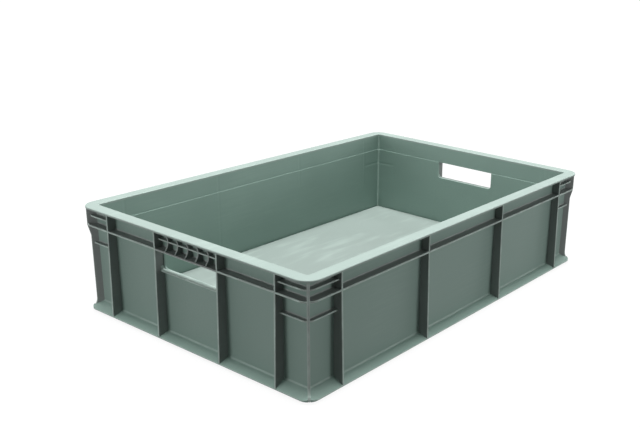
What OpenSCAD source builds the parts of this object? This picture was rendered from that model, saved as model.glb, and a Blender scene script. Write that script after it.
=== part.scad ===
// Stacking crate on a 600 by 400 mm outline, moulded from one shot of plastic.
// It is drawn as the named regions of that moulding, which meet face to face.
// Millimetres, +Z up, +X along the long side, origin under the middle of the base.
// Section drawings use u, the distance inward from the outline, and z, the height.

/* [Overall] */
// Length over the rim
crate_l = 600; // [520:1:660]
// Width over the rim
crate_w = 400; // [340:1:440]
// Height from the ground to the top of the rim
crate_h = 145; // [125:1:240]

/* [Rim] */
// Width of the flat rim, from the outline to the mouth
rim_w = 16.8; // [15.5:0.1:20]
// Thickness of the rim flange
rim_t = 3; // [2.4:0.1:4]
// Radius of the rim's outer corners, seen from above
rim_corner_r = 20; // [14:0.5:30]
// Rounding of the rim's upper outer edge
rim_edge_r = 1.2; // [0.5:0.1:2]

/* [Walls] */
// Thickness of the wall band between the rim and the ledge
band_t = 2.4; // [2:0.1:3]
// How far the wall steps into the crate below the ledge
wall_step = 0.6; // [0.3:0.1:1]
// Radius of the four inside corners
mouth_corner_r = 2.5; // [1.5:0.1:4]
// Radius of the four outside wall corners, behind the fins
wall_corner_r = 1; // [0.5:0.1:2]

/* [Ledge] */
// Rim top to ledge top
ledge_drop = 24.5; // [20:0.5:30]
// Thickness of the ledge
ledge_t = 2.5; // [2:0.1:3.5]
// Outline to the ledge's edge
ledge_inset = 3; // [1.5:0.1:4]
// Radius of the ledge's corners, seen from above
ledge_corner_r = 14; // [10:0.5:18]
// Fillet where a ledge or a shelf meets the wall
root_r = 1.5; // [0.8:0.1:2.2]

/* [Corner shelves] */
// Rim top to the upper shelf
mid_shelf_drop = 12.5; // [9:0.5:15]
// Outline to the upper shelf's edge
mid_shelf_inset = 6.3; // [5:0.1:8]
// Radius of the upper shelf's corner
mid_shelf_r = 12; // [8:0.5:14]
// Rim top to the lower shelf
low_shelf_drop = 49.5; // [42:0.5:60]
// Outline to the lower shelf's edge
low_shelf_inset = 8.7; // [7:0.1:10]
// Radius of the lower shelf's corner
low_shelf_r = 9; // [6:0.5:12]
// Thickness of both shelves
shelf_t = 2; // [1.6:0.1:3]

/* [Corner fins] */
// Thickness of the fin that stands on each corner
fin_t = 3; // [2:0.1:4]
// How far the fin's upper edge stands back from the rim's corner
fin_back = 0.3; // [0.1:0.1:2]
// Height over which the fin slopes in below the ledge
fin_slope_h = 14; // [8:0.5:18]
// Distance from both outlines to the fin's edge below that slope
fin_neck_inset = 8.6; // [8:0.1:12]
// Height at which the fin's edge starts to curve out to the skirt
fin_heel_h = 14; // [9:0.5:24]

/* [Ribs] */
// Thickness of the upright ribs
rib_t = 2.5; // [2:0.1:3.5]
// End of a long side to its first rib
corner_bay_long = 56; // [45:1:70]
// End of a short side to its first rib
corner_bay_short = 53; // [45:1:70]
// Middle of a long side to its inner ribs
long_bay_half = 84; // [60:1:110]
// Middle of a short side to its inner ribs, which frame the hand hole
grip_bay_half = 55; // [48:1:70]

/* [Hand grip] */
// Number of scooped ribs in each grip
grip_ribs = 5; // [3:1:7]
// Thickness of a scooped rib
grip_rib_t = 2; // [1.5:0.1:2.5]
// Depth of the scoop behind the ledge's edge
grip_scoop = 5.5; // [4:0.1:7]
// Thickness of the bar that crosses the scooped ribs
grip_bar_t = 1.8; // [1.4:0.1:2.5]

/* [Hand hole] */
// Height of the hole below the ledge
hole_h = 26.5; // [22:0.5:32]
// Rib face to the side of the hole
hole_jamb = 1.75; // [1:0.05:4]
// Radius of the hole's lower corners
hole_r = 4.5; // [2:0.5:8]
// Outline to the round edge of the sill, which juts out under the hole
sill_inset = 8.8; // [6:0.1:12]
// Thickness of the sill
sill_t = 2.2; // [1.6:0.1:3]

/* [Skirt] */
// Depth of the stacking foot below the skirt
foot_h = 3; // [2:0.5:6]
// Outline to the skirt's edge
skirt_inset = 0.5; // [0:0.1:1.5]
// Height of the skirt's upright edge
skirt_lip = 1.5; // [1:0.1:2]
// Height at which the skirt meets the wall
skirt_rise = 6; // [5:0.1:8]
// The same height in the corner bays
corner_rise = 10; // [8.5:0.1:13]
// Thickness of the skirt flange, measured upright
skirt_t = 2.6; // [2.3:0.1:3.2]
// Radius of the skirt's corners, seen from above
skirt_corner_r = 14.5; // [6:0.5:18]
// Fillet where the skirt meets the wall
skirt_root_r = 3; // [1:0.1:4]

/* [Base] */
// Height of the floor's surface above the skirt's lower edge
floor_rise = 7.5; // [6:0.1:10]
// Thickness of the floor
floor_t = 2.8; // [2:0.1:4]
// Gap between the stacking foot and the mouth of the crate below
foot_clear = 2.2; // [1.5:0.1:3]
// Thickness of the stacking foot
foot_t = 3; // [2:0.1:4]
// Thickness of the ribs under the floor
base_rib_t = 2; // [1.5:0.1:3]
// How far those ribs stop short of the ground
base_relief = 1; // [0.5:0.1:2]
// Number of base ribs across the crate
cross_ribs = 5; // [3:1:7]
// Number of base ribs along the crate
long_ribs = 3; // [1:1:4]

/* [Hidden] */
$fn = 48;
// Overrun of a cut past the face that it opens
over = 1;
quarter_turn = 90;

SIDES = ["front", "rear", "left", "right"];
GRIP_SIDES = ["left", "right"];
// Corner name with the signs of its X and Y
CORNERS = [["front_left", -1, -1], ["front_right", 1, -1], ["rear_left", -1, 1], ["rear_right", 1, 1]];
SIDE_RIBS = 4;

// Heights
rim_under = crate_h - rim_t;
ledge_top = crate_h - ledge_drop;
ledge_under = ledge_top - ledge_t;
mid_shelf_top = crate_h - mid_shelf_drop;
low_shelf_top = crate_h - low_shelf_drop;
skirt_z = foot_h;
floor_top = skirt_z + floor_rise;
floor_under = floor_top - floor_t;
hole_sill = ledge_under - hole_h;

// Distances inward from the outline
wall_out = rim_w - band_t;
wall_in = rim_w + wall_step;
ledge_lap = (ledge_inset + wall_out) / 2;
foot_out = rim_w + foot_clear;
foot_in = foot_out + foot_t;
mitre_depth = foot_in + rim_corner_r;

// Hand grip: the scoop is an arc from the ledge's edge to the rim
grip_bay = grip_bay_half - rib_t / 2;
grip_edge = ledge_inset + grip_scoop;
grip_mid = (ledge_top + rim_under) / 2;
scoop_half = (rim_under - ledge_top) / 2;
scoop_r = arc_r(scoop_half, grip_scoop);
hole_half = grip_bay - hole_jamb;
sill_nose_r = sill_t / 2;

// Base ribs halve each other where they cross
base_l = crate_l - 2 * foot_in;
base_w = crate_w - 2 * foot_in;
base_lap = (base_relief + floor_under) / 2;

function is_long(side) = side == "front" || side == "rear";
function side_l(side) = is_long(side) ? crate_l : crate_w;
function outer_rib(side) = side_l(side) / 2 - (is_long(side) ? corner_bay_long : corner_bay_short);
function inner_rib(side) = is_long(side) ? long_bay_half : grip_bay_half;
function rib_places(side) =
    [-outer_rib(side), -inner_rib(side), inner_rib(side), outer_rib(side)];
// End of the middle bays, at the far face of the outer rib
function bay_end(side) = outer_rib(side) + rib_t / 2;
// Distance along a corner's diagonal to a point that is inset from both outlines
function diagonal(inset) = inset * sqrt(2);
// The same to the middle of a rounded corner
function arc_diagonal(inset, r) = diagonal(inset) + r * (sqrt(2) - 1);
// Radius of an arc that moves in by a depth over a rise, and is upright at one end
function arc_r(rise, depth) = (rise * rise + depth * depth) / (2 * depth);
function even_place(i, count, span) = span * (i / (count + 1) - 0.5);
// Width of the skirt's flat lower edge, where its sloping underside runs out
function skirt_heel(rise) = (skirt_t - skirt_lip) * (wall_out - skirt_inset) / (rise - skirt_lip);

// Corner fins, measured along the diagonal
fin_reach = diagonal(wall_out) + fin_t;
fin_edge = arc_diagonal(0, rim_corner_r) + fin_back;
fin_neck = diagonal(fin_neck_inset);
skirt_edge = arc_diagonal(skirt_inset, skirt_corner_r);
heel_r = arc_r(fin_heel_h - skirt_lip, fin_neck - skirt_edge);

module plastic() {
    color("#7f948b") children();
}

// Places what is drawn with X along a side and Y inward from the outline
module on_side(side) {
    if (side == "front") translate([0, -crate_w / 2, 0]) children();
    if (side == "rear") mirror([0, 1, 0]) translate([0, -crate_w / 2, 0]) children();
    if (side == "left") translate([-crate_l / 2, 0, 0]) rotate([0, 0, -90]) children();
    if (side == "right") mirror([1, 0, 0]) translate([-crate_l / 2, 0, 0]) rotate([0, 0, -90]) children();
}

// Places what is drawn with X inward along the diagonal of a corner
module on_corner(sx, sy) {
    translate([sx * crate_l / 2, sy * crate_w / 2, 0]) rotate([0, 0, atan2(-sy, -sx)]) children();
}

// Runs a section of u and z along a side
module run(start, end) {
    translate([start, 0, 0]) rotate([90, 0, 90]) linear_extrude(height = end - start) children();
}

// Carries a drawing of X and z inward from one depth to another
module inward(start, end) {
    translate([0, end, 0]) rotate([90, 0, 0]) linear_extrude(height = end - start) children();
}

// The share of the crate that belongs to one side, cut at 45 degrees at its ends
module mitre(side) {
    outer = side_l(side) / 2;
    inner = outer - mitre_depth;
    linear_extrude(height = crate_h)
        polygon([[-outer, 0], [outer, 0], [inner, mitre_depth], [-inner, mitre_depth]]);
}

// Outline of the crate, inset and with round corners
module outline(inset, r) {
    size = [crate_l - 2 * inset, crate_w - 2 * inset];
    square(size - [2 * r, 0], center = true);
    square(size - [0, 2 * r], center = true);
    for (sx = [-1, 1], sy = [-1, 1])
        translate([sx * (size[0] / 2 - r), sy * (size[1] / 2 - r)]) circle(r);
}

module block(inset, r, low, high) {
    translate([0, 0, low]) linear_extrude(height = high - low) outline(inset, r);
}

module fin_slots() {
    for (corner = CORNERS)
        on_corner(corner[1], corner[2])
            translate([0, -fin_t / 2, -over]) cube([fin_reach, fin_t, crate_h + 2 * over]);
}

// Section of the fillet in a square corner, which lies at the drawing's origin
module root_section(r) {
    difference() {
        square(r);
        translate([r, r]) circle(r);
    }
}

// Section of a shelf on the wall, with a fillet at its root
module shelf_section(edge, top, thick) {
    translate([edge, top - thick]) square([wall_out - edge, thick]);
    translate([wall_out, top]) mirror([1, 0]) root_section(root_r);
}

module floor_panel() {
    plastic() block(wall_in, mouth_corner_r, floor_under, floor_top);
}

// Outline of the hand hole, open to the ledge and round at its lower corners
module hole_outline(half) {
    corner_x = half - hole_r;
    translate([-half, hole_sill + hole_r]) square([2 * half, hole_h - hole_r]);
    translate([-corner_x, hole_sill]) square([2 * corner_x, hole_r]);
    for (x = [-corner_x, corner_x]) translate([x, hole_sill + hole_r]) circle(hole_r);
}

// Lip under the hand hole, with a round edge and ends that curve up to the ribs
module sill() {
    nose = sill_inset + sill_nose_r;
    run(-grip_bay, grip_bay) {
        translate([nose, hole_sill - sill_t]) square([wall_out - nose, sill_t]);
        translate([nose, hole_sill - sill_nose_r]) circle(sill_nose_r);
    }
    inward(nose, wall_out) difference() {
        translate([-grip_bay, hole_sill]) square([2 * grip_bay, hole_r]);
        hole_outline(grip_bay);
    }
}

module wall_panel(side) {
    intersection() {
        on_side(side) mitre(side);
        union() {
            difference() {
                block(wall_out, wall_corner_r, skirt_z, ledge_under);
                block(wall_in, mouth_corner_r, skirt_z - over, ledge_under + over);
            }
            difference() {
                block(wall_out, wall_corner_r, ledge_under, rim_under);
                block(rim_w, mouth_corner_r, ledge_under - over, rim_under + over);
            }
        }
    }
}

module wall(side) {
    plastic()
        if (is_long(side)) wall_panel(side);
        else {
            difference() {
                wall_panel(side);
                on_side(side) inward(wall_out - over, wall_in + over) hole_outline(hole_half);
            }
            on_side(side) sill();
        }
}

// Section of what the rounding takes off the rim's upper outer edge
module rim_edge_section() {
    translate([0, crate_h - rim_edge_r]) difference() {
        translate([-over, 0]) square(rim_edge_r + over);
        translate([rim_edge_r, 0]) circle(rim_edge_r);
    }
}

module rim(side) {
    straight = side_l(side) / 2 - rim_corner_r;
    plastic() difference() {
        intersection() {
            on_side(side) mitre(side);
            block(0, rim_corner_r, rim_under, crate_h);
        }
        block(rim_w, mouth_corner_r, rim_under - over, crate_h + over);
        on_side(side) {
            run(-straight, straight) rim_edge_section();
            for (flip = [0, 1])
                mirror([flip, 0, 0]) translate([-straight, rim_corner_r, 0]) rotate([0, 0, 2 * quarter_turn])
                    rotate_extrude(angle = quarter_turn)
                        translate([rim_corner_r, 0]) mirror([1, 0]) rim_edge_section();
        }
    }
}

// The ledge lies in the inner half of each rib, and each rib in the ledge's outer half
module ledge(side) {
    half = side_l(side) / 2;
    plastic() difference() {
        intersection() {
            on_side(side) {
                intersection() {
                    run(-half, half) shelf_section(ledge_inset, ledge_top, ledge_t);
                    mitre(side);
                }
            }
            block(ledge_inset, ledge_corner_r, ledge_under - over, rim_under);
        }
        fin_slots();
        on_side(side)
            for (x = rib_places(side))
                translate([x - rib_t / 2, 0, ledge_under - over])
                    cube([rib_t, ledge_lap, ledge_t + 2 * over]);
    }
}

// Section of a rib, which stands on the skirt
module rib_section() {
    difference() {
        polygon([
            [wall_out, rim_under],
            [ledge_inset, rim_under],
            [ledge_inset, ledge_under],
            [skirt_inset, skirt_z + skirt_lip],
            [wall_out, skirt_z + skirt_rise - skirt_t / 2]
        ]);
        skirt_section(skirt_rise);
        intersection() {
            shelf_section(ledge_inset, ledge_top, ledge_t);
            translate([ledge_lap, 0]) square([wall_out, crate_h]);
        }
    }
}

module side_rib(side, i) {
    x = rib_places(side)[i - 1];
    plastic() on_side(side) run(x - rib_t / 2, x + rib_t / 2) rib_section();
}

// Section of the skirt, with a fillet between its slope and the wall
module skirt_section(rise) {
    slope = atan2(rise - skirt_lip, wall_out - skirt_inset);
    reach = skirt_root_r * tan((quarter_turn - slope) / 2);
    meet_z = skirt_z + rise;
    difference() {
        polygon([
            [skirt_inset, skirt_z],
            [skirt_inset, skirt_z + skirt_lip],
            [wall_out - reach * cos(slope), meet_z - reach * sin(slope)],
            [wall_out, meet_z + reach],
            [wall_out, meet_z - skirt_t],
            [skirt_inset + skirt_heel(rise), skirt_z]
        ]);
        translate([wall_out - skirt_root_r, meet_z + reach]) circle(skirt_root_r);
    }
}

module skirt(side) {
    bay = bay_end(side);
    half = side_l(side) / 2;
    plastic() difference() {
        intersection() {
            on_side(side) {
                intersection() {
                    union() {
                        run(-bay, bay) skirt_section(skirt_rise);
                        run(-half, -bay) skirt_section(corner_rise);
                        run(bay, half) skirt_section(corner_rise);
                    }
                    mitre(side);
                }
            }
            block(skirt_inset, skirt_corner_r, skirt_z - over, rim_under);
        }
        fin_slots();
    }
}

module foot(side) {
    plastic() intersection() {
        on_side(side) mitre(side);
        difference() {
            block(foot_out, mouth_corner_r, 0, floor_under);
            block(foot_in, mouth_corner_r, -over, floor_under + over);
        }
    }
}

// One leg of a corner shelf, from the first rib of a side to the end of that side
module shelf_leg(side, end, inset, top) {
    half = side_l(side) / 2;
    bay = bay_end(side);
    on_side(side) intersection() {
        run(end > 0 ? bay : -half, end > 0 ? half : -bay) shelf_section(inset, top, shelf_t);
        mitre(side);
    }
}

module corner_shelf(sx, sy, inset, r, top) {
    intersection() {
        union() {
            shelf_leg(sy < 0 ? "front" : "rear", sx, inset, top);
            shelf_leg(sx < 0 ? "left" : "right", -sy, inset, top);
        }
        block(inset, r, 0, rim_under);
    }
}

// Upright plate on the diagonal: full depth to the ledge, a slim neck, and a heel that curves out
module fin() {
    heel_top = skirt_z + fin_heel_h;
    rotate([90, 0, 0]) linear_extrude(height = fin_t, center = true) difference() {
        polygon([
            [fin_reach, rim_under],
            [fin_edge, rim_under],
            [fin_edge, ledge_under],
            [fin_neck, ledge_under - fin_slope_h],
            [fin_neck, heel_top],
            [skirt_edge, heel_top],
            [skirt_edge, skirt_z],
            [fin_reach, skirt_z]
        ]);
        translate([fin_neck - heel_r, heel_top]) circle(heel_r);
    }
}

module corner_web(sx, sy) {
    plastic() difference() {
        union() {
            on_corner(sx, sy) fin();
            corner_shelf(sx, sy, mid_shelf_inset, mid_shelf_r, mid_shelf_top);
            corner_shelf(sx, sy, low_shelf_inset, low_shelf_r, low_shelf_top);
        }
        block(wall_out, wall_corner_r, 0, crate_h);
    }
}

module scoop_section() {
    difference() {
        translate([ledge_inset, ledge_top]) square([wall_out - ledge_inset, rim_under - ledge_top]);
        translate([grip_edge - scoop_r, grip_mid]) circle(scoop_r);
    }
}

module grip(side) {
    plastic() on_side(side) difference() {
        union() {
            run(-grip_bay, grip_bay)
                translate([grip_edge, grip_mid - grip_bar_t / 2]) square([wall_out - grip_edge, grip_bar_t]);
            for (i = [1 : grip_ribs]) {
                x = even_place(i, grip_ribs, 2 * grip_bay);
                run(x - grip_rib_t / 2, x + grip_rib_t / 2) scoop_section();
            }
        }
        run(-grip_bay, grip_bay) shelf_section(ledge_inset, ledge_top, ledge_t);
    }
}

module base_cross_rib(i) {
    x = even_place(i, cross_ribs, base_l);
    plastic() difference() {
        translate([x - base_rib_t / 2, -base_w / 2, base_relief])
            cube([base_rib_t, base_w, floor_under - base_relief]);
        for (k = [1 : long_ribs])
            translate([x - base_rib_t, even_place(k, long_ribs, base_w) - base_rib_t / 2, base_lap])
                cube([2 * base_rib_t, base_rib_t, floor_under]);
    }
}

module base_long_rib(i) {
    y = even_place(i, long_ribs, base_w);
    plastic() difference() {
        translate([-base_l / 2, y - base_rib_t / 2, base_relief])
            cube([base_l, base_rib_t, floor_under - base_relief]);
        for (k = [1 : cross_ribs]) {
            x = even_place(k, cross_ribs, base_l);
            translate([x - base_rib_t / 2, y - base_rib_t, base_lap - floor_under])
                cube([base_rib_t, 2 * base_rib_t, floor_under]);
        }
    }
}

floor_panel();
for (side = SIDES) {
    wall(side);
    rim(side);
    ledge(side);
    skirt(side);
    foot(side);
    for (i = [1 : SIDE_RIBS])
        side_rib(side, i);
}
for (corner = CORNERS)
    corner_web(corner[1], corner[2]);
for (side = GRIP_SIDES)
    grip(side);
for (i = [1 : cross_ribs])
    base_cross_rib(i);
for (i = [1 : long_ribs])
    base_long_rib(i);
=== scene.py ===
# %% [markdown]
# # A grey-green stacking crate
# The real crate is one injection moulding: molten polypropylene is shot into a steel mould, and floor,
# walls, ribs and rim all come out together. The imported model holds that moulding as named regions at
# their real size. This lesson keeps those regions, gives them the soft edges and the surface of moulded
# plastic, and lights them as a product picture.

# %% Load the frame
import math

import bmesh
import bpy
from mathutils import Euler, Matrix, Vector
from mathutils.bvhtree import BVHTree


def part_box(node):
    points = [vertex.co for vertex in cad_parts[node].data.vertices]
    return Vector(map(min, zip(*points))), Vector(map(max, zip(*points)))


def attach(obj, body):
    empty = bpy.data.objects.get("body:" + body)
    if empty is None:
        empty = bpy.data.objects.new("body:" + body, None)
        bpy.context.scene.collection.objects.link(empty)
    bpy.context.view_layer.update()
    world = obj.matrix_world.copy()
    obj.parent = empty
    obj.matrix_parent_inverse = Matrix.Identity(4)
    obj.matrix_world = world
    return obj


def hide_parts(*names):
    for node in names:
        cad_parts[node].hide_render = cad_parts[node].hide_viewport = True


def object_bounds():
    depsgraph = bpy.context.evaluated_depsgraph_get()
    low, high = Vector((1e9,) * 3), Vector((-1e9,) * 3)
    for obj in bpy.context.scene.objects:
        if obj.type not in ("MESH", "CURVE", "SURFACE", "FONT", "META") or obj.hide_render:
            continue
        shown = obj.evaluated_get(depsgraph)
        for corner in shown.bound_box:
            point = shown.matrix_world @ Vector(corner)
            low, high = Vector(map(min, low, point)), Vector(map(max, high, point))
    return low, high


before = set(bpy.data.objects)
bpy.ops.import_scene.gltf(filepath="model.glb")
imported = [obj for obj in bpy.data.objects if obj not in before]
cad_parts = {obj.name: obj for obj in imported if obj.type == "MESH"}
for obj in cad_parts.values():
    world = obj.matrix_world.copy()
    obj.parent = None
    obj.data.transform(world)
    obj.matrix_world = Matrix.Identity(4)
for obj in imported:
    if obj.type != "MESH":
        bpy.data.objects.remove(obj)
cad_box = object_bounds()
MM = 0.001
print("regions:", len(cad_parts))
print("box in mm:", [round(side / MM, 1) for side in cad_box[1] - cad_box[0]])

# %% [markdown]
# ## Which edges are really edges
# The regions meet face to face, so many of their edges lie inside the plastic and are not edges of the
# crate at all. Rounding those would cut grooves into it. Joining all regions into one mesh would hide
# them, but then no region could be reused alone. So one search tree holds every triangle with the region
# that owns it, and an edge counts as free only where no other region touches it.

# %% Search tree of all regions
def all_triangles():
    corners, faces, owners = [], [], []
    for name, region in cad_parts.items():
        first = len(corners)
        corners += [corner.co.copy() for corner in region.data.vertices]
        faces += [[first + i for i in face.vertices] for face in region.data.polygons]
        owners += [name] * len(region.data.polygons)
    return BVHTree.FromPolygons(corners, faces), owners


touching, owners = all_triangles()
print("triangles in the tree:", len(owners))

# %% Find free, sharp edges
CONTACT = 0.02 * MM
SHARP_ANGLE = math.radians(30)
PLACES_ALONG_EDGE = (0.25, 0.5, 0.75)


def is_free(edge, name):
    start, end = (corner.co for corner in edge.verts)
    for share in PLACES_ALONG_EDGE:
        for hit in touching.find_nearest_range(start.lerp(end, share), CONTACT):
            if owners[hit[2]] != name:
                return False
    return True


def is_sharp(edge):
    return edge.is_manifold and edge.calc_face_angle_signed() > SHARP_ANGLE


print("an edge is sharp above", round(math.degrees(SHARP_ANGLE)), "degrees")

# %% [markdown]
# ## Soft edges
# A moulded edge is never sharp: the mould is milled with small radii so that the plastic flows and the
# part comes out. On a thin rib that radius is what catches the light as a pale line. A shader can fake
# it, but a bevel gives a true shape that also shows in outline. Edges are also where crates rub against
# each other, so the rounded strips are marked in a face attribute that the plastic reads later and paints
# pale: partly wear, and partly a painted highlight added to the light the rounding catches.

# %% Round the free edges and mark them
ROUND_SEGMENTS = 4


def marks(shape):
    return shape.faces.layers.float["wear_and_highlight"]


def mark_pale(shape, faces, paleness):
    """Marks faces to be painted pale, from 0 to 1: worn places and painted highlights."""
    mark = marks(shape)
    for face in faces:
        face[mark] = paleness


# Rounded strips are marked to be painted pale: partly wear, partly a painted highlight.
def round_edges(shape, name, edges, radius, paleness):
    edges = [edge for edge in edges if is_sharp(edge) and is_free(edge, name)]
    strips = bmesh.ops.bevel(
        shape, geom=edges, affect="EDGES", offset_type="OFFSET", offset=radius,
        segments=ROUND_SEGMENTS, profile=0.5, material=-1, clamp_overlap=False,
    )
    mark_pale(shape, strips["faces"], paleness)
    return len(edges)


print("faces across a rounded edge:", ROUND_SEGMENTS)

# %% Mark the narrow faces between two rounded edges
MOSTLY = 0.8


# Faces between two rounded edges are painted pale as well: partly wear, partly a painted highlight.
def mark_narrow_faces_pale(shape, paleness):
    mark = marks(shape)
    narrow = []
    for face in shape.faces:
        beside = sum(
            edge.calc_length() for edge in face.edges
            if any(near[mark] > 0 for near in edge.link_faces if near != face)
        )
        if face[mark] == 0 and beside > MOSTLY * face.calc_perimeter():
            narrow.append(face)
    mark_pale(shape, narrow, paleness)


print("a face is narrow if rounded edges take more than", MOSTLY, "of its outline")

# %% [markdown]
# ## The corner fin
# An upright fin on each corner takes the knocks, so its edge is nearly half round. One bevel over all
# edges of a corner would run that large radius into the thin shelves beside the fin. So a corner takes two
# passes: first the fin's rising edges, then the level edges of its shelves. A crate set down on a corner
# lands on the fin's heel, so the heel is painted paler than the rest of the fin: partly wear, and partly a
# painted highlight.

# %% Round a corner in two passes
FIN_RADIUS = 1.3 * MM
FIN_WEAR_AND_HIGHLIGHT = 0.5
HEEL_TOP = 20 * MM
LEVEL_SLOPE = 0.1


def is_level(edge):
    start, end = (corner.co for corner in edge.verts)
    return abs(end.z - start.z) < LEVEL_SLOPE * edge.calc_length()


def round_corner(shape, name, radius, paleness):
    rising = [edge for edge in shape.edges if not is_level(edge)]
    count = round_edges(shape, name, rising, FIN_RADIUS, FIN_WEAR_AND_HIGHLIGHT)
    mark = marks(shape)
    rounded = [face for face in shape.faces if face[mark] > 0]
    # The heel is painted paler than the rest of the fin: partly wear, partly a painted highlight.
    mark_pale(shape, [face for face in rounded if face.calc_center_median().z < HEEL_TOP], paleness)
    level = [edge for edge in shape.edges if is_level(edge)]
    return count + round_edges(shape, name, level, radius, paleness)


print("fin radius in mm:", round(FIN_RADIUS / MM, 1))

# %% [markdown]
# ## The skirt's lip
# The skirt ends in a thin lip. The solid's lip is one straight sweep, cut by the round outline of the
# corner, so its lower edge climbs by almost a millimetre there, while a real lip stays level. Moving the
# few corners of that edge down is enough, and nothing has to be built again.

# %% Set the lip level
LIP_RISE = 1.0 * MM


def level_lip(shape):
    base = min(corner.co.z for corner in shape.verts)
    for corner in shape.verts:
        if corner.co.z < base + LIP_RISE:
            corner.co.z = base


print("lip set level where it rises by less than", round(LIP_RISE / MM, 1), "mm")

# %% [markdown]
# ## Walls with a hole
# Two walls have a hand hole, but a face of a mesh cannot have a hole: Blender bridges it with an edge that
# belongs to no real line, and a bevel that ends there goes wrong. Cutting each wall through the middle puts
# the bridge on a clean straight line. The cut is marked as a seam, which keeps it when flat faces merge.

# %% Cut through the middle
def cut_through_middle(shape):
    for across in ((1, 0, 0), (0, 1, 0)):
        whole = shape.verts[:] + shape.edges[:] + shape.faces[:]
        cut = bmesh.ops.bisect_plane(shape, geom=whole, plane_co=(0, 0, 0), plane_no=across)
        for part in cut["geom_cut"]:
            if isinstance(part, bmesh.types.BMEdge):
                part.seam = True


print("walls to cut:", [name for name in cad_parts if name.endswith("_wall")])

# %% [markdown]
# ## The curve round the floor
# Inside a moulding the floor runs into the walls in a small curve, so that plastic flows round the corner
# and dirt can be wiped out. It could be a bevel of the inner edge, but floor and wall are two regions and
# the edge lies between them. So the floor's flat face is inset ring by ring, and the rings are raised to an
# arc against the wall. Goods slide along this curve and it catches light from above, so it is painted pale:
# partly wear, partly a painted highlight.

# %% Raise the floor's edge
FLOOR_ROOT = 2.5 * MM
FLOOR_RINGS = 5
FLOOR_WEAR_AND_HIGHLIGHT = 0.9


# The floor's curve is painted pale: partly wear, partly a painted highlight.
def fillet_floor(shape):
    flat = max(shape.faces, key=lambda face: face.calc_area() * face.normal.z)
    rings = []
    for _ in range(FLOOR_RINGS):
        rings.append(list(flat.verts))
        strip = bmesh.ops.inset_region(
            shape, faces=[flat], thickness=FLOOR_ROOT / FLOOR_RINGS, use_even_offset=True)
        mark_pale(shape, strip["faces"], FLOOR_WEAR_AND_HIGHLIGHT)
    for step, ring in enumerate(rings):
        away = 1 - step / FLOOR_RINGS
        for corner in ring:
            corner.co.z += FLOOR_ROOT * (1 - math.sqrt(1 - away * away))


print("floor curve in mm:", round(FLOOR_ROOT / MM, 1))

# %% [markdown]
# ## Painted highlights in hollows and on the sill
# Hollow curves catch light from above as pale lines: at the root of a ledge or skirt, which looks up and
# out, and in the upright corners inside. The sill of the hand hole, which juts out of the wall, is lit
# through the hole. These faces get painted highlights. A painted map could hold these marks, but the
# direction and place of a face already tell them apart.

# %% Mark hollow roots
ROOT_TILT = (0.1, 0.75)
ROOT_HIGHLIGHT = 0.35


# Painted highlight: hollow root faces that look up and out are painted pale.
def paint_root_highlights(shape):
    mark = marks(shape)
    roots = [face for face in shape.faces if face[mark] == 0 and ROOT_TILT[0] < face.normal.z < ROOT_TILT[1]]
    mark_pale(shape, roots, ROOT_HIGHLIGHT)


print("a root leans up by", ROOT_TILT)

# %% Mark the sill and the inside corners of a wall
SILL_HIGHLIGHT = 1.0
GRIP_HALF = 60 * MM
CORNER_HIGHLIGHT = 0.6
CORNER_TURN = 0.1
wall_outside = min(abs(corner.x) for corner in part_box("left_rib_1"))


# Painted highlights: the sill of the hand hole and the curved inside corners of a wall are painted pale.
def paint_wall_highlights(shape):
    for face in shape.faces:
        centre, normal = face.calc_center_median(), face.normal
        turned = min(abs(normal.x), abs(normal.y)) > CORNER_TURN
        if abs(centre.x) > wall_outside + CONTACT and abs(centre.y) < GRIP_HALF:
            mark_pale(shape, [face], SILL_HIGHLIGHT)
        elif turned and normal.xy.dot(centre.xy) < 0:
            mark_pale(shape, [face], CORNER_HIGHLIGHT)


print("outside of the short walls in mm from the middle:", round(wall_outside / MM, 1))

# %% [markdown]
# ## One region of the moulding
# Each region is copied, its loose triangles are welded, flat faces are merged, and the free edges are
# rounded. The radius follows the thickness: the ledge is thick and handled, so its edges are soft, while
# the lip of the skirt is thin and keeps a crisp edge. Faces are shaded smooth, with a crease wherever two
# of them meet at a clear angle. Face-weighted normals keep the large faces flat, so that only the rounded
# strips shade from one side to the other.

# %% Weld and flatten a region
WELD = 0.001 * MM
FLAT_ANGLE = math.radians(0.5)


def weld_and_flatten(shape, kind):
    bmesh.ops.remove_doubles(shape, verts=shape.verts, dist=WELD)
    if kind == "wall":
        cut_through_middle(shape)
    bmesh.ops.dissolve_limit(
        shape, angle_limit=FLAT_ANGLE, verts=shape.verts, edges=shape.edges, delimit={"SEAM"})
    if kind == "skirt":
        level_lip(shape)


print("faces merge below", round(math.degrees(FLAT_ANGLE), 1), "degrees")

# %% Round a region
# For each kind of region: edge radius in mm, and how pale its edges are painted, from 0 to 1, for wear and as
# a painted highlight
EDGE_FINISH = {
    "rim": (0.8, 0.4), "ledge": (0.9, 1.0), "rib": (0.7, 0.9), "corner": (0.8, 1.0), "grip": (0.5, 0.8),
    "skirt": (0.4, 0.5), "wall": (0.5, 0.0), "foot": (0.5, 1.0), "panel": (0.5, 0.0),
}


def round_region(shape, name, kind):
    radius, paleness = EDGE_FINISH[kind]
    if kind == "corner":
        count = round_corner(shape, name, radius * MM, paleness)
    else:
        count = round_edges(shape, name, shape.edges, radius * MM, paleness)
    mark_narrow_faces_pale(shape, paleness)
    if kind in ("skirt", "ledge", "corner"):
        paint_root_highlights(shape)
    if kind == "wall":
        paint_wall_highlights(shape)
    if kind == "panel":
        fillet_floor(shape)
    return count


print("kinds of region:", list(EDGE_FINISH))

# %% Copy a region into its own piece
SMOOTH_ANGLE = math.radians(38)


def shade_smooth(shape):
    shape.normal_update()
    for face in shape.faces:
        face.smooth = True
    for edge in shape.edges:
        edge.smooth = edge.calc_face_angle(math.pi) < SMOOTH_ANGLE


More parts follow.
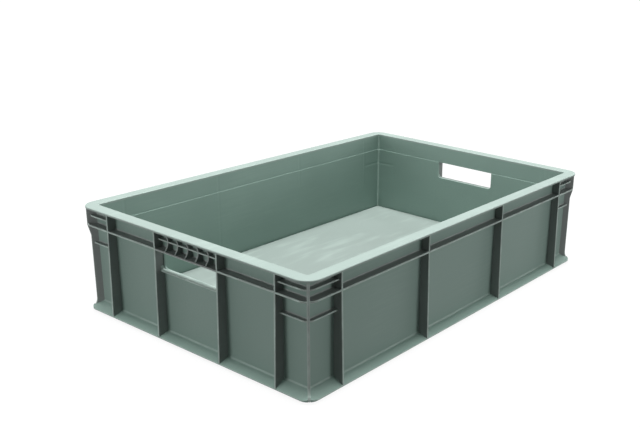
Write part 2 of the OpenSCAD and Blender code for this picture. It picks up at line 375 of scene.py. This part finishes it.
def moulded_copy(name, kind):
    shape = bmesh.new()
    shape.from_mesh(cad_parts[name].data)
    shape.faces.layers.float.new("wear_and_highlight")
    weld_and_flatten(shape, kind)
    count = round_region(shape, name, kind)
    shade_smooth(shape)
    mesh = bpy.data.meshes.new(f"moulded_{name}")
    shape.to_mesh(mesh)
    shape.free()
    piece = bpy.data.objects.new(mesh.name, mesh)
    bpy.context.collection.objects.link(piece)
    weighted = piece.modifiers.new("flat_faces", "WEIGHTED_NORMAL")
    weighted.keep_sharp = True
    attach(piece, "root")
    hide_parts(name)
    return piece, count


print("creases are kept above", round(math.degrees(SMOOTH_ANGLE)), "degrees")

# %% [markdown]
# ## Colours and nodes
# Colours are picked as sRGB hex values, as a screen shows them, but a shader works with linear light.
# One function turns the first into the second, and one small function adds a shader node with its
# settings and links, so that each material below reads as a list of what it is made of.

# %% Colour and node helpers
def linear(hex_colour):
    channels = [int(hex_colour[i : i + 2], 16) / 255 for i in (1, 3, 5)]
    return [c / 12.92 if c <= 0.04045 else ((c + 0.055) / 1.055) ** 2.4 for c in channels] + [1.0]


def add(tree, kind, settings=None, inputs=None):
    node = tree.nodes.new(kind)
    for name, value in (settings or {}).items():
        setattr(node, name, value)
    for name, value in (inputs or {}).items():
        if isinstance(value, bpy.types.NodeSocket):
            tree.links.new(value, node.inputs[name])
        else:
            node.inputs[name].default_value = value
    return node


def per_metre(size_mm):
    return 1 / (size_mm * MM)


print("screen grey #808080 in linear light:", round(linear("#808080")[0], 3))

# %% [markdown]
# ## Scuffs, worn edges and painted highlights
# Goods that slide leave long thin scuffs, and never everywhere, so one stretched noise draws the streaks
# and a wider one chooses the patches where they show. The pale marks come from the marked faces, here more
# and there less: worn edges, and painted highlights on edges, hollow roots, inside corners and the sill.
# All of it is worked out from Object coordinates and from the marks, so a pattern stays put on the
# plastic. A painted picture would need a map for every region.

# %% Scuffs
SCUFF_RANGE = (0.22, 0.44)


def scuffs(tree, place, size_mm, turn, share):
    """size_mm is a scuff's length and width, turn its direction in degrees, share how pale it gets."""
    length, width = size_mm
    turned = add(tree, "ShaderNodeMapping", inputs={
        "Vector": place, "Rotation": Euler((0, 0, math.radians(turn))),
        "Scale": (per_metre(length), per_metre(width), per_metre(width))})
    streak = add(tree, "ShaderNodeTexNoise", inputs={
        "Vector": turned.outputs[0], "Scale": 1.0, "Detail": 2.0})
    patch = add(tree, "ShaderNodeTexNoise", inputs={"Vector": place, "Scale": per_metre(2 * length)})
    mixed = add(tree, "ShaderNodeMath", {"operation": "MULTIPLY"}, {
        0: streak.outputs["Fac"], 1: patch.outputs["Fac"]})
    amount = add(tree, "ShaderNodeMapRange", {"interpolation_type": "SMOOTHSTEP"}, {
        "Value": mixed.outputs[0], "From Min": SCUFF_RANGE[0], "From Max": SCUFF_RANGE[1],
        "To Min": 0.0, "To Max": share})
    return amount.outputs[0]


print("scuffs show where streak times patch passes", SCUFF_RANGE[0])

# %% Pale marks: worn edges and painted highlights
MARK_PATCH_MM = 14
MARK_PATCH_RANGE = (0.35, 0.65)
FAINTEST_MARK = 0.55


# Reads the pale marks: worn edges, and painted highlights on edges, roots, inside corners and the sill.
def pale_marks(tree, place):
    marked = add(tree, "ShaderNodeAttribute", {"attribute_name": "wear_and_highlight"})
    uneven = add(tree, "ShaderNodeTexNoise", inputs={
        "Vector": place, "Scale": per_metre(MARK_PATCH_MM), "Detail": 3.0})
    amount = add(tree, "ShaderNodeMapRange", inputs={
        "Value": uneven.outputs["Fac"], "From Min": MARK_PATCH_RANGE[0], "From Max": MARK_PATCH_RANGE[1],
        "To Min": FAINTEST_MARK, "To Max": 1.0})
    wear_and_highlight = add(tree, "ShaderNodeMath", {"operation": "MULTIPLY"}, {
        0: marked.outputs["Fac"], 1: amount.outputs[0]})
    return wear_and_highlight.outputs[0]


print("wear changes every", MARK_PATCH_MM, "mm")

# %% [markdown]
# ## Moulded polypropylene
# Polypropylene is a waxy plastic with an index of refraction near 1.49. The mould was spark eroded, so
# the surface has a fine dull grain: it gives soft, wide highlights and no mirror image. The grey-green
# pigment is not mixed evenly, which shows as clouds a hand wide. One function makes every finish of it,
# because all regions came out of one mould and differ only in use.

# %% Surface of the plastic
CLOUD_MM = 85
CLOUD_RANGE = (0.3, 0.7)
ROUGHNESS = (0.50, 0.62)
SCUFF_DULLS = 0.15
# The true grain is near 0.3 mm and would not show, so it is drawn coarser
GRAIN_MM = 1.6
GRAIN_DEPTH = 0.03 * MM
SINK_DEPTH = 0.2 * MM


def dullness(tree, cloud, scuff):
    dull = add(tree, "ShaderNodeMapRange", inputs={
        "Value": cloud, "From Min": CLOUD_RANGE[0], "From Max": CLOUD_RANGE[1],
        "To Min": ROUGHNESS[0], "To Max": ROUGHNESS[1]})
    rough = add(tree, "ShaderNodeMath", {"operation": "MULTIPLY_ADD"}, {
        0: scuff, 1: SCUFF_DULLS, 2: dull.outputs[0]})
    return rough.outputs[0]


def relief(tree, place, sunk):
    """Fine grain, and on top of it the height that sunk adds, where a finish has one."""
    grain = add(tree, "ShaderNodeTexNoise", inputs={
        "Vector": place, "Scale": per_metre(GRAIN_MM), "Detail": 2.0})
    bump = add(tree, "ShaderNodeBump", inputs={
        "Height": grain.outputs["Fac"], "Distance": GRAIN_DEPTH, "Strength": 1.0})
    if sunk:
        bump = add(tree, "ShaderNodeBump", inputs={
            "Height": sunk(tree, place), "Distance": SINK_DEPTH, "Strength": 1.0, "Normal": bump.outputs[0]})
    return bump.outputs[0]


print("pigment clouds in mm:", CLOUD_MM, "roughness:", ROUGHNESS)

# %% The plastic
IOR = 1.49
# Pale colour for scuffs and worn edges, and for the painted highlights on edges, roots, inside corners and
# the sill
PALE_WEAR_AND_HIGHLIGHT = "#BDD0C8"


# Moulded polypropylene: to the eye a satin, slightly cloudy plastic, paler where it is scuffed, on worn edges
# and where highlights are painted on
def moulded_polypropylene(name, pigment, scuff_mm, scuff_turn, scuff_share, sunk=None):
    """pigment is a dark and a pale hex, and sunk a function that adds a height of its own."""
    material = bpy.data.materials.new(name)
    material.use_nodes = True
    tree = material.node_tree
    tree.nodes.clear()
    place = add(tree, "ShaderNodeTexCoord").outputs["Object"]
    cloud = add(tree, "ShaderNodeTexNoise", inputs={
        "Vector": place, "Scale": per_metre(CLOUD_MM), "Detail": 3.0}).outputs["Fac"]
    clean = add(tree, "ShaderNodeMix", {"data_type": "RGBA"}, {
        0: cloud, 6: linear(pigment[0]), 7: linear(pigment[1])})
    scuff = scuffs(tree, place, scuff_mm, scuff_turn, scuff_share)
    # Paleness from real scuffs and worn edges, and from painted highlights on the marked faces
    paleness = add(tree, "ShaderNodeMath", {"operation": "MAXIMUM"}, {0: scuff, 1: pale_marks(tree, place)})
    colour = add(tree, "ShaderNodeMix", {"data_type": "RGBA"}, {
        0: paleness.outputs[0], 6: clean.outputs[2], 7: linear(PALE_WEAR_AND_HIGHLIGHT)})
    plastic = add(tree, "ShaderNodeBsdfPrincipled", inputs={
        "Base Color": colour.outputs[2], "Roughness": dullness(tree, cloud, scuff), "IOR": IOR,
        "Normal": relief(tree, place, sunk)})
    add(tree, "ShaderNodeOutputMaterial", inputs={"Surface": plastic.outputs[0]})
    return material


print("worn plastic in linear light:", [round(c, 3) for c in linear(PALE_WEAR_AND_HIGHLIGHT)[:3]])

# %% [markdown]
# ## Sink marks
# Where a rib or shelf stands on the outside, the plastic behind it is thicker and shrinks more as it
# cools. Inside the crate that leaves a faint hollow line opposite each rib, and one opposite the lower
# shelf in each corner. They are far too shallow to model, so the wall material gets them as relief: the
# distance to the nearest line, from the places of the ribs and shelves themselves.

# %% Places of the ribs and the lower shelf
FACING_UP = 0.99
# Shelves and walls are 2 to 3 mm thick, so a point this far behind their surface lies inside the plastic
WITHIN = 1.0 * MM


def middle(name):
    low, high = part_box(name)
    return (low + high) / 2


def lower_shelf(corner, ledge):
    """Height of the highest level face of a corner that lies below the ledge."""
    level = [face.center.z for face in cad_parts[corner].data.polygons if face.normal.z > FACING_UP]
    return max(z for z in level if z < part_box(ledge)[0].z)


shelf_z = lower_shelf("front_left_corner", "front_ledge") - WITHIN
print("lower shelf in mm:", round(shelf_z / MM, 1))

# %% One hollow line
SINK_WIDTH = 3.5 * MM


def sink_line(tree, distance, at):
    """Height that dips to -1 where distance is at, and is 0 beyond the line's width."""
    gap = add(tree, "ShaderNodeMath", {"operation": "SUBTRACT"}, {0: distance, 1: at})
    gap = add(tree, "ShaderNodeMath", {"operation": "ABSOLUTE"}, {0: gap.outputs[0]})
    depth = add(tree, "ShaderNodeMapRange", {"interpolation_type": "SMOOTHSTEP"}, {
        "Value": gap.outputs[0], "From Min": 0.0, "From Max": SINK_WIDTH, "To Min": -1.0, "To Max": 0.0})
    return depth.outputs[0]


print("sink marks in mm: width", round(2 * SINK_WIDTH / MM, 1), "depth", round(SINK_DEPTH / MM, 1))

# %% Sink marks opposite the ribs and shelves
def sink_marks(side, axis, across):
    """Height of the lines inside one pair of walls: axis runs along the wall and across goes through it."""
    outer, inner = (abs(middle(f"{side}_rib_{i}")[axis]) for i in (1, 2))
    inside = min(abs(corner[across]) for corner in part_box(f"{side}_rib_1")) - WITHIN

    def height(tree, place):
        split = add(tree, "ShaderNodeSeparateXYZ", inputs={0: place})
        along = add(tree, "ShaderNodeMath", {"operation": "ABSOLUTE"}, {0: split.outputs[axis]}).outputs[0]
        ribs = add(tree, "ShaderNodeMath", {"operation": "MINIMUM"}, {
            0: sink_line(tree, along, outer), 1: sink_line(tree, along, inner)})
        in_corner = add(tree, "ShaderNodeMath", {"operation": "GREATER_THAN"}, {0: along, 1: outer})
        shelf = add(tree, "ShaderNodeMath", {"operation": "MULTIPLY"}, {
            0: sink_line(tree, split.outputs["Z"], shelf_z), 1: in_corner.outputs[0]})
        deepest = add(tree, "ShaderNodeMath", {"operation": "MINIMUM"}, {
            0: ribs.outputs[0], 1: shelf.outputs[0]})
        away = add(tree, "ShaderNodeMath", {"operation": "ABSOLUTE"}, {0: split.outputs[across]})
        on_inside = add(tree, "ShaderNodeMath", {"operation": "LESS_THAN"}, {0: away.outputs[0], 1: inside})
        shown = add(tree, "ShaderNodeMath", {"operation": "MULTIPLY"}, {
            0: deepest.outputs[0], 1: on_inside.outputs[0]})
        return shown.outputs[0]

    print(side, "sink marks in mm from the middle:", round(inner / MM, 1), round(outer / MM, 1))
    return height


# %% [markdown]
# ## Six finishes of one plastic
# All regions came out of one mould, so they share one plastic. What differs is use: hands and other crates
# have dulled the rim, and goods have dulled the floor. Ribs, ledges, corners and grips get a darker, greyer
# pigment than the walls and the skirt: painted shade, which keeps the shaded sides of the ribs dark grey.
# The walls add their sink marks. One finish for all would be simpler, but then the dark sides of the ribs
# turn green.

# %% The finishes
CLEAN_PIGMENT = ("#80988F", "#8AA299")
# Painted shade: a darker, greyer pigment for ribs, ledges, corners and grips, so their shaded sides render
# dark grey
PAINTED_SHADE_PIGMENT = ("#7E8482", "#868C8A")
RIM_PIGMENT = ("#8A9A94", "#92A29C")
FLOOR_PIGMENT = ("#838F8A", "#8A9792")

skirt_plastic = moulded_polypropylene(
    "moulded_polypropylene", CLEAN_PIGMENT, scuff_mm=(40, 2.0), scuff_turn=0, scuff_share=0.05)
# Painted shade: this finish darkens and greys every rib, ledge, corner and grip
rib_plastic = moulded_polypropylene(
    "moulded_polypropylene_painted_shade", PAINTED_SHADE_PIGMENT, scuff_mm=(40, 2.0), scuff_turn=0, scuff_share=0.05)
rim_plastic = moulded_polypropylene(
    "moulded_polypropylene_handled_rim", RIM_PIGMENT, scuff_mm=(30, 1.5), scuff_turn=35, scuff_share=0.15)
floor_plastic = moulded_polypropylene(
    "moulded_polypropylene_scuffed_floor", FLOOR_PIGMENT, scuff_mm=(60, 12.0), scuff_turn=20,
    scuff_share=0.18)
long_wall_plastic = moulded_polypropylene(
    "moulded_polypropylene_long_wall", CLEAN_PIGMENT, scuff_mm=(50, 2.0), scuff_turn=0, scuff_share=0.05,
    sunk=sink_marks("front", axis=0, across=1))
short_wall_plastic = moulded_polypropylene(
    "moulded_polypropylene_short_wall", CLEAN_PIGMENT, scuff_mm=(50, 2.0), scuff_turn=90, scuff_share=0.05,
    sunk=sink_marks("left", axis=1, across=0))
print("finishes:", [material.name for material in bpy.data.materials if "polypropylene" in material.name])

# %% Dress every region
# rib_plastic carries the painted shade of ribs, ledges, corners and grips
FINISH = {
    "rim": rim_plastic, "panel": floor_plastic, "rib": rib_plastic, "ledge": rib_plastic,
    "corner": rib_plastic, "grip": rib_plastic, "skirt": skirt_plastic, "foot": skirt_plastic,
}


def finish_for(name, kind):
    if kind == "wall":
        return long_wall_plastic if name.startswith(("front", "rear")) else short_wall_plastic
    return FINISH[kind]


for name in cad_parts:
    kind = next(word for word in name.split("_") if word in EDGE_FINISH)
    piece, rounded = moulded_copy(name, kind)
    piece.data.materials.append(finish_for(name, kind))
    print(piece.name, "edges rounded:", rounded, "faces:", len(piece.data.polygons))

# %% [markdown]
# ## The camera
# The picture was taken from above the near corner, about 1.3 m away. The numbers come from matching the
# rim and base corners of a crate of this size to the picture. The picture was cropped off its middle.
# Turning the camera aside would slant the crate, so a lens shift repeats the crop.

# %% Camera
AZIMUTH = math.radians(-53.67)
ELEVATION = math.radians(19.81)
ROLL = math.radians(1.99)
AIM = Vector((70.2, -62.7, 54.0)) * MM
DISTANCE = 1308.3 * MM

eye = bpy.data.cameras.new("camera")
eye.sensor_width = 36
eye.lens = 50.57
eye.shift_x = -0.15
eye.shift_y = 0.05
camera = bpy.data.objects.new("camera", eye)
bpy.context.collection.objects.link(camera)
turn = Euler((math.pi / 2 - ELEVATION, 0, AZIMUTH)).to_matrix() @ Euler((0, 0, ROLL)).to_matrix()
camera.location = AIM + turn @ Vector((0, 0, DISTANCE))
camera.rotation_euler = turn.to_euler()
bpy.context.scene.camera = camera
print("camera in mm:", [round(c / MM) for c in camera.location])

# %% [markdown]
# ## A white sweep
# The crate stands on a white sweep. One that is white for every ray would throw so much light back that
# the ribs lost their dark sides. So the sweep and the world are white only for the rays that the camera,
# gloss and glass see, and for all other light the sweep is a dark matte ground.

# %% White for the eye
AMBIENT = 0.02


def seen_directly(tree):
    path = add(tree, "ShaderNodeLightPath")
    eye_or_gloss = add(tree, "ShaderNodeMath", {"operation": "MAXIMUM"}, {
        0: path.outputs["Is Camera Ray"], 1: path.outputs["Is Glossy Ray"]})
    seen = add(tree, "ShaderNodeMath", {"operation": "MAXIMUM"}, {
        0: eye_or_gloss.outputs[0], 1: path.outputs["Is Transmission Ray"]})
    return seen.outputs[0]


world = bpy.data.worlds.new("studio")
world.use_nodes = True
sky = world.node_tree
sky.nodes.clear()
level = add(sky, "ShaderNodeMapRange", inputs={"Value": seen_directly(sky), "To Min": AMBIENT, "To Max": 1.0})
air = add(sky, "ShaderNodeBackground", inputs={"Color": linear("#FFFFFF"), "Strength": level.outputs[0]})
add(sky, "ShaderNodeOutputWorld", inputs={"Surface": air.outputs[0]})
bpy.context.scene.world = world
bpy.context.scene.view_settings.view_transform = "Standard"
print("ambient light:", AMBIENT)

# %% Paper of the sweep
GROUND = "#525252"
# Near the crate the glow leaves room for its shadow, and from the far distance on it is white by itself
GLOW_NEAR, GLOW_FAR = 0.92, 1.0
GLOW_FROM, GLOW_TO = 0.5, 1.6

# Matte white paper: to the eye an even white without gloss, which only the crate's shadow darkens
sweep_paper = bpy.data.materials.new("white_sweep")
sweep_paper.use_nodes = True
tree = sweep_paper.node_tree
tree.nodes.clear()
matte = add(tree, "ShaderNodeBsdfDiffuse", inputs={"Color": linear(GROUND)})
place = add(tree, "ShaderNodeTexCoord").outputs["Object"]
away = add(tree, "ShaderNodeVectorMath", {"operation": "LENGTH"}, {0: place})
glow = add(tree, "ShaderNodeMapRange", {"interpolation_type": "SMOOTHSTEP"}, {
    "Value": away.outputs["Value"], "From Min": GLOW_FROM, "From Max": GLOW_TO,
    "To Min": GLOW_NEAR, "To Max": GLOW_FAR})
lift = add(tree, "ShaderNodeMath", {"operation": "MULTIPLY"}, {0: seen_directly(tree), 1: glow.outputs[0]})
light = add(tree, "ShaderNodeEmission", inputs={"Strength": lift.outputs[0]})
both = add(tree, "ShaderNodeAddShader", inputs={0: matte.outputs[0], 1: light.outputs[0]})
add(tree, "ShaderNodeOutputMaterial", inputs={"Surface": both.outputs[0]})
print("glow of the sweep near and far:", GLOW_NEAR, GLOW_FAR)

# %% The sweep
SWEEP_SIZE = 16

sheet = bmesh.new()
bmesh.ops.create_grid(sheet, x_segments=1, y_segments=1, size=SWEEP_SIZE / 2)
sweep_mesh = bpy.data.meshes.new("floor")
sheet.to_mesh(sweep_mesh)
sheet.free()
sweep_mesh.materials.append(sweep_paper)
sweep = bpy.data.objects.new("floor", sweep_mesh)
bpy.context.collection.objects.link(sweep)
print("sweep in m:", SWEEP_SIZE)

# %% [markdown]
# ## Soft boxes
# One large soft box hangs high overhead and lights rim and floor. Four low ones stand round the crate,
# one for each wall. Straight before its wall, a lamp would light the ribs left and right of it from
# opposite sides. So each stands well to one side of the middle, and all ribs of a wall have their dark
# side the same way round.

# %% Lamps
CENTRE = Vector((0, 0, cad_box[1].z / 2))
LOW_BOX = (0.8, 0.5)


def soft_box(name, spot, size, watts):
    lamp = bpy.data.lights.new(name, "AREA")
    lamp.shape = "RECTANGLE"
    lamp.size, lamp.size_y = size
    lamp.energy = watts
    box = bpy.data.objects.new(name, lamp)
    box.location = spot
    box.rotation_euler = (CENTRE - box.location).to_track_quat("-Z", "Y").to_euler()
    bpy.context.collection.objects.link(box)
    print(name, "in m:", spot, "watts:", watts)


soft_box("overhead", (0.0, 0.0, 4.0), (1.6, 1.3), 275)
soft_box("front_side", (0.7, -2.2, 0.45), LOW_BOX, 13)
soft_box("left_side", (-2.1, 0.65, 0.45), LOW_BOX, 12)
soft_box("rear_side", (-0.7, 2.2, 0.45), LOW_BOX, 10)
soft_box("right_side", (2.1, -0.65, 0.45), LOW_BOX, 9)
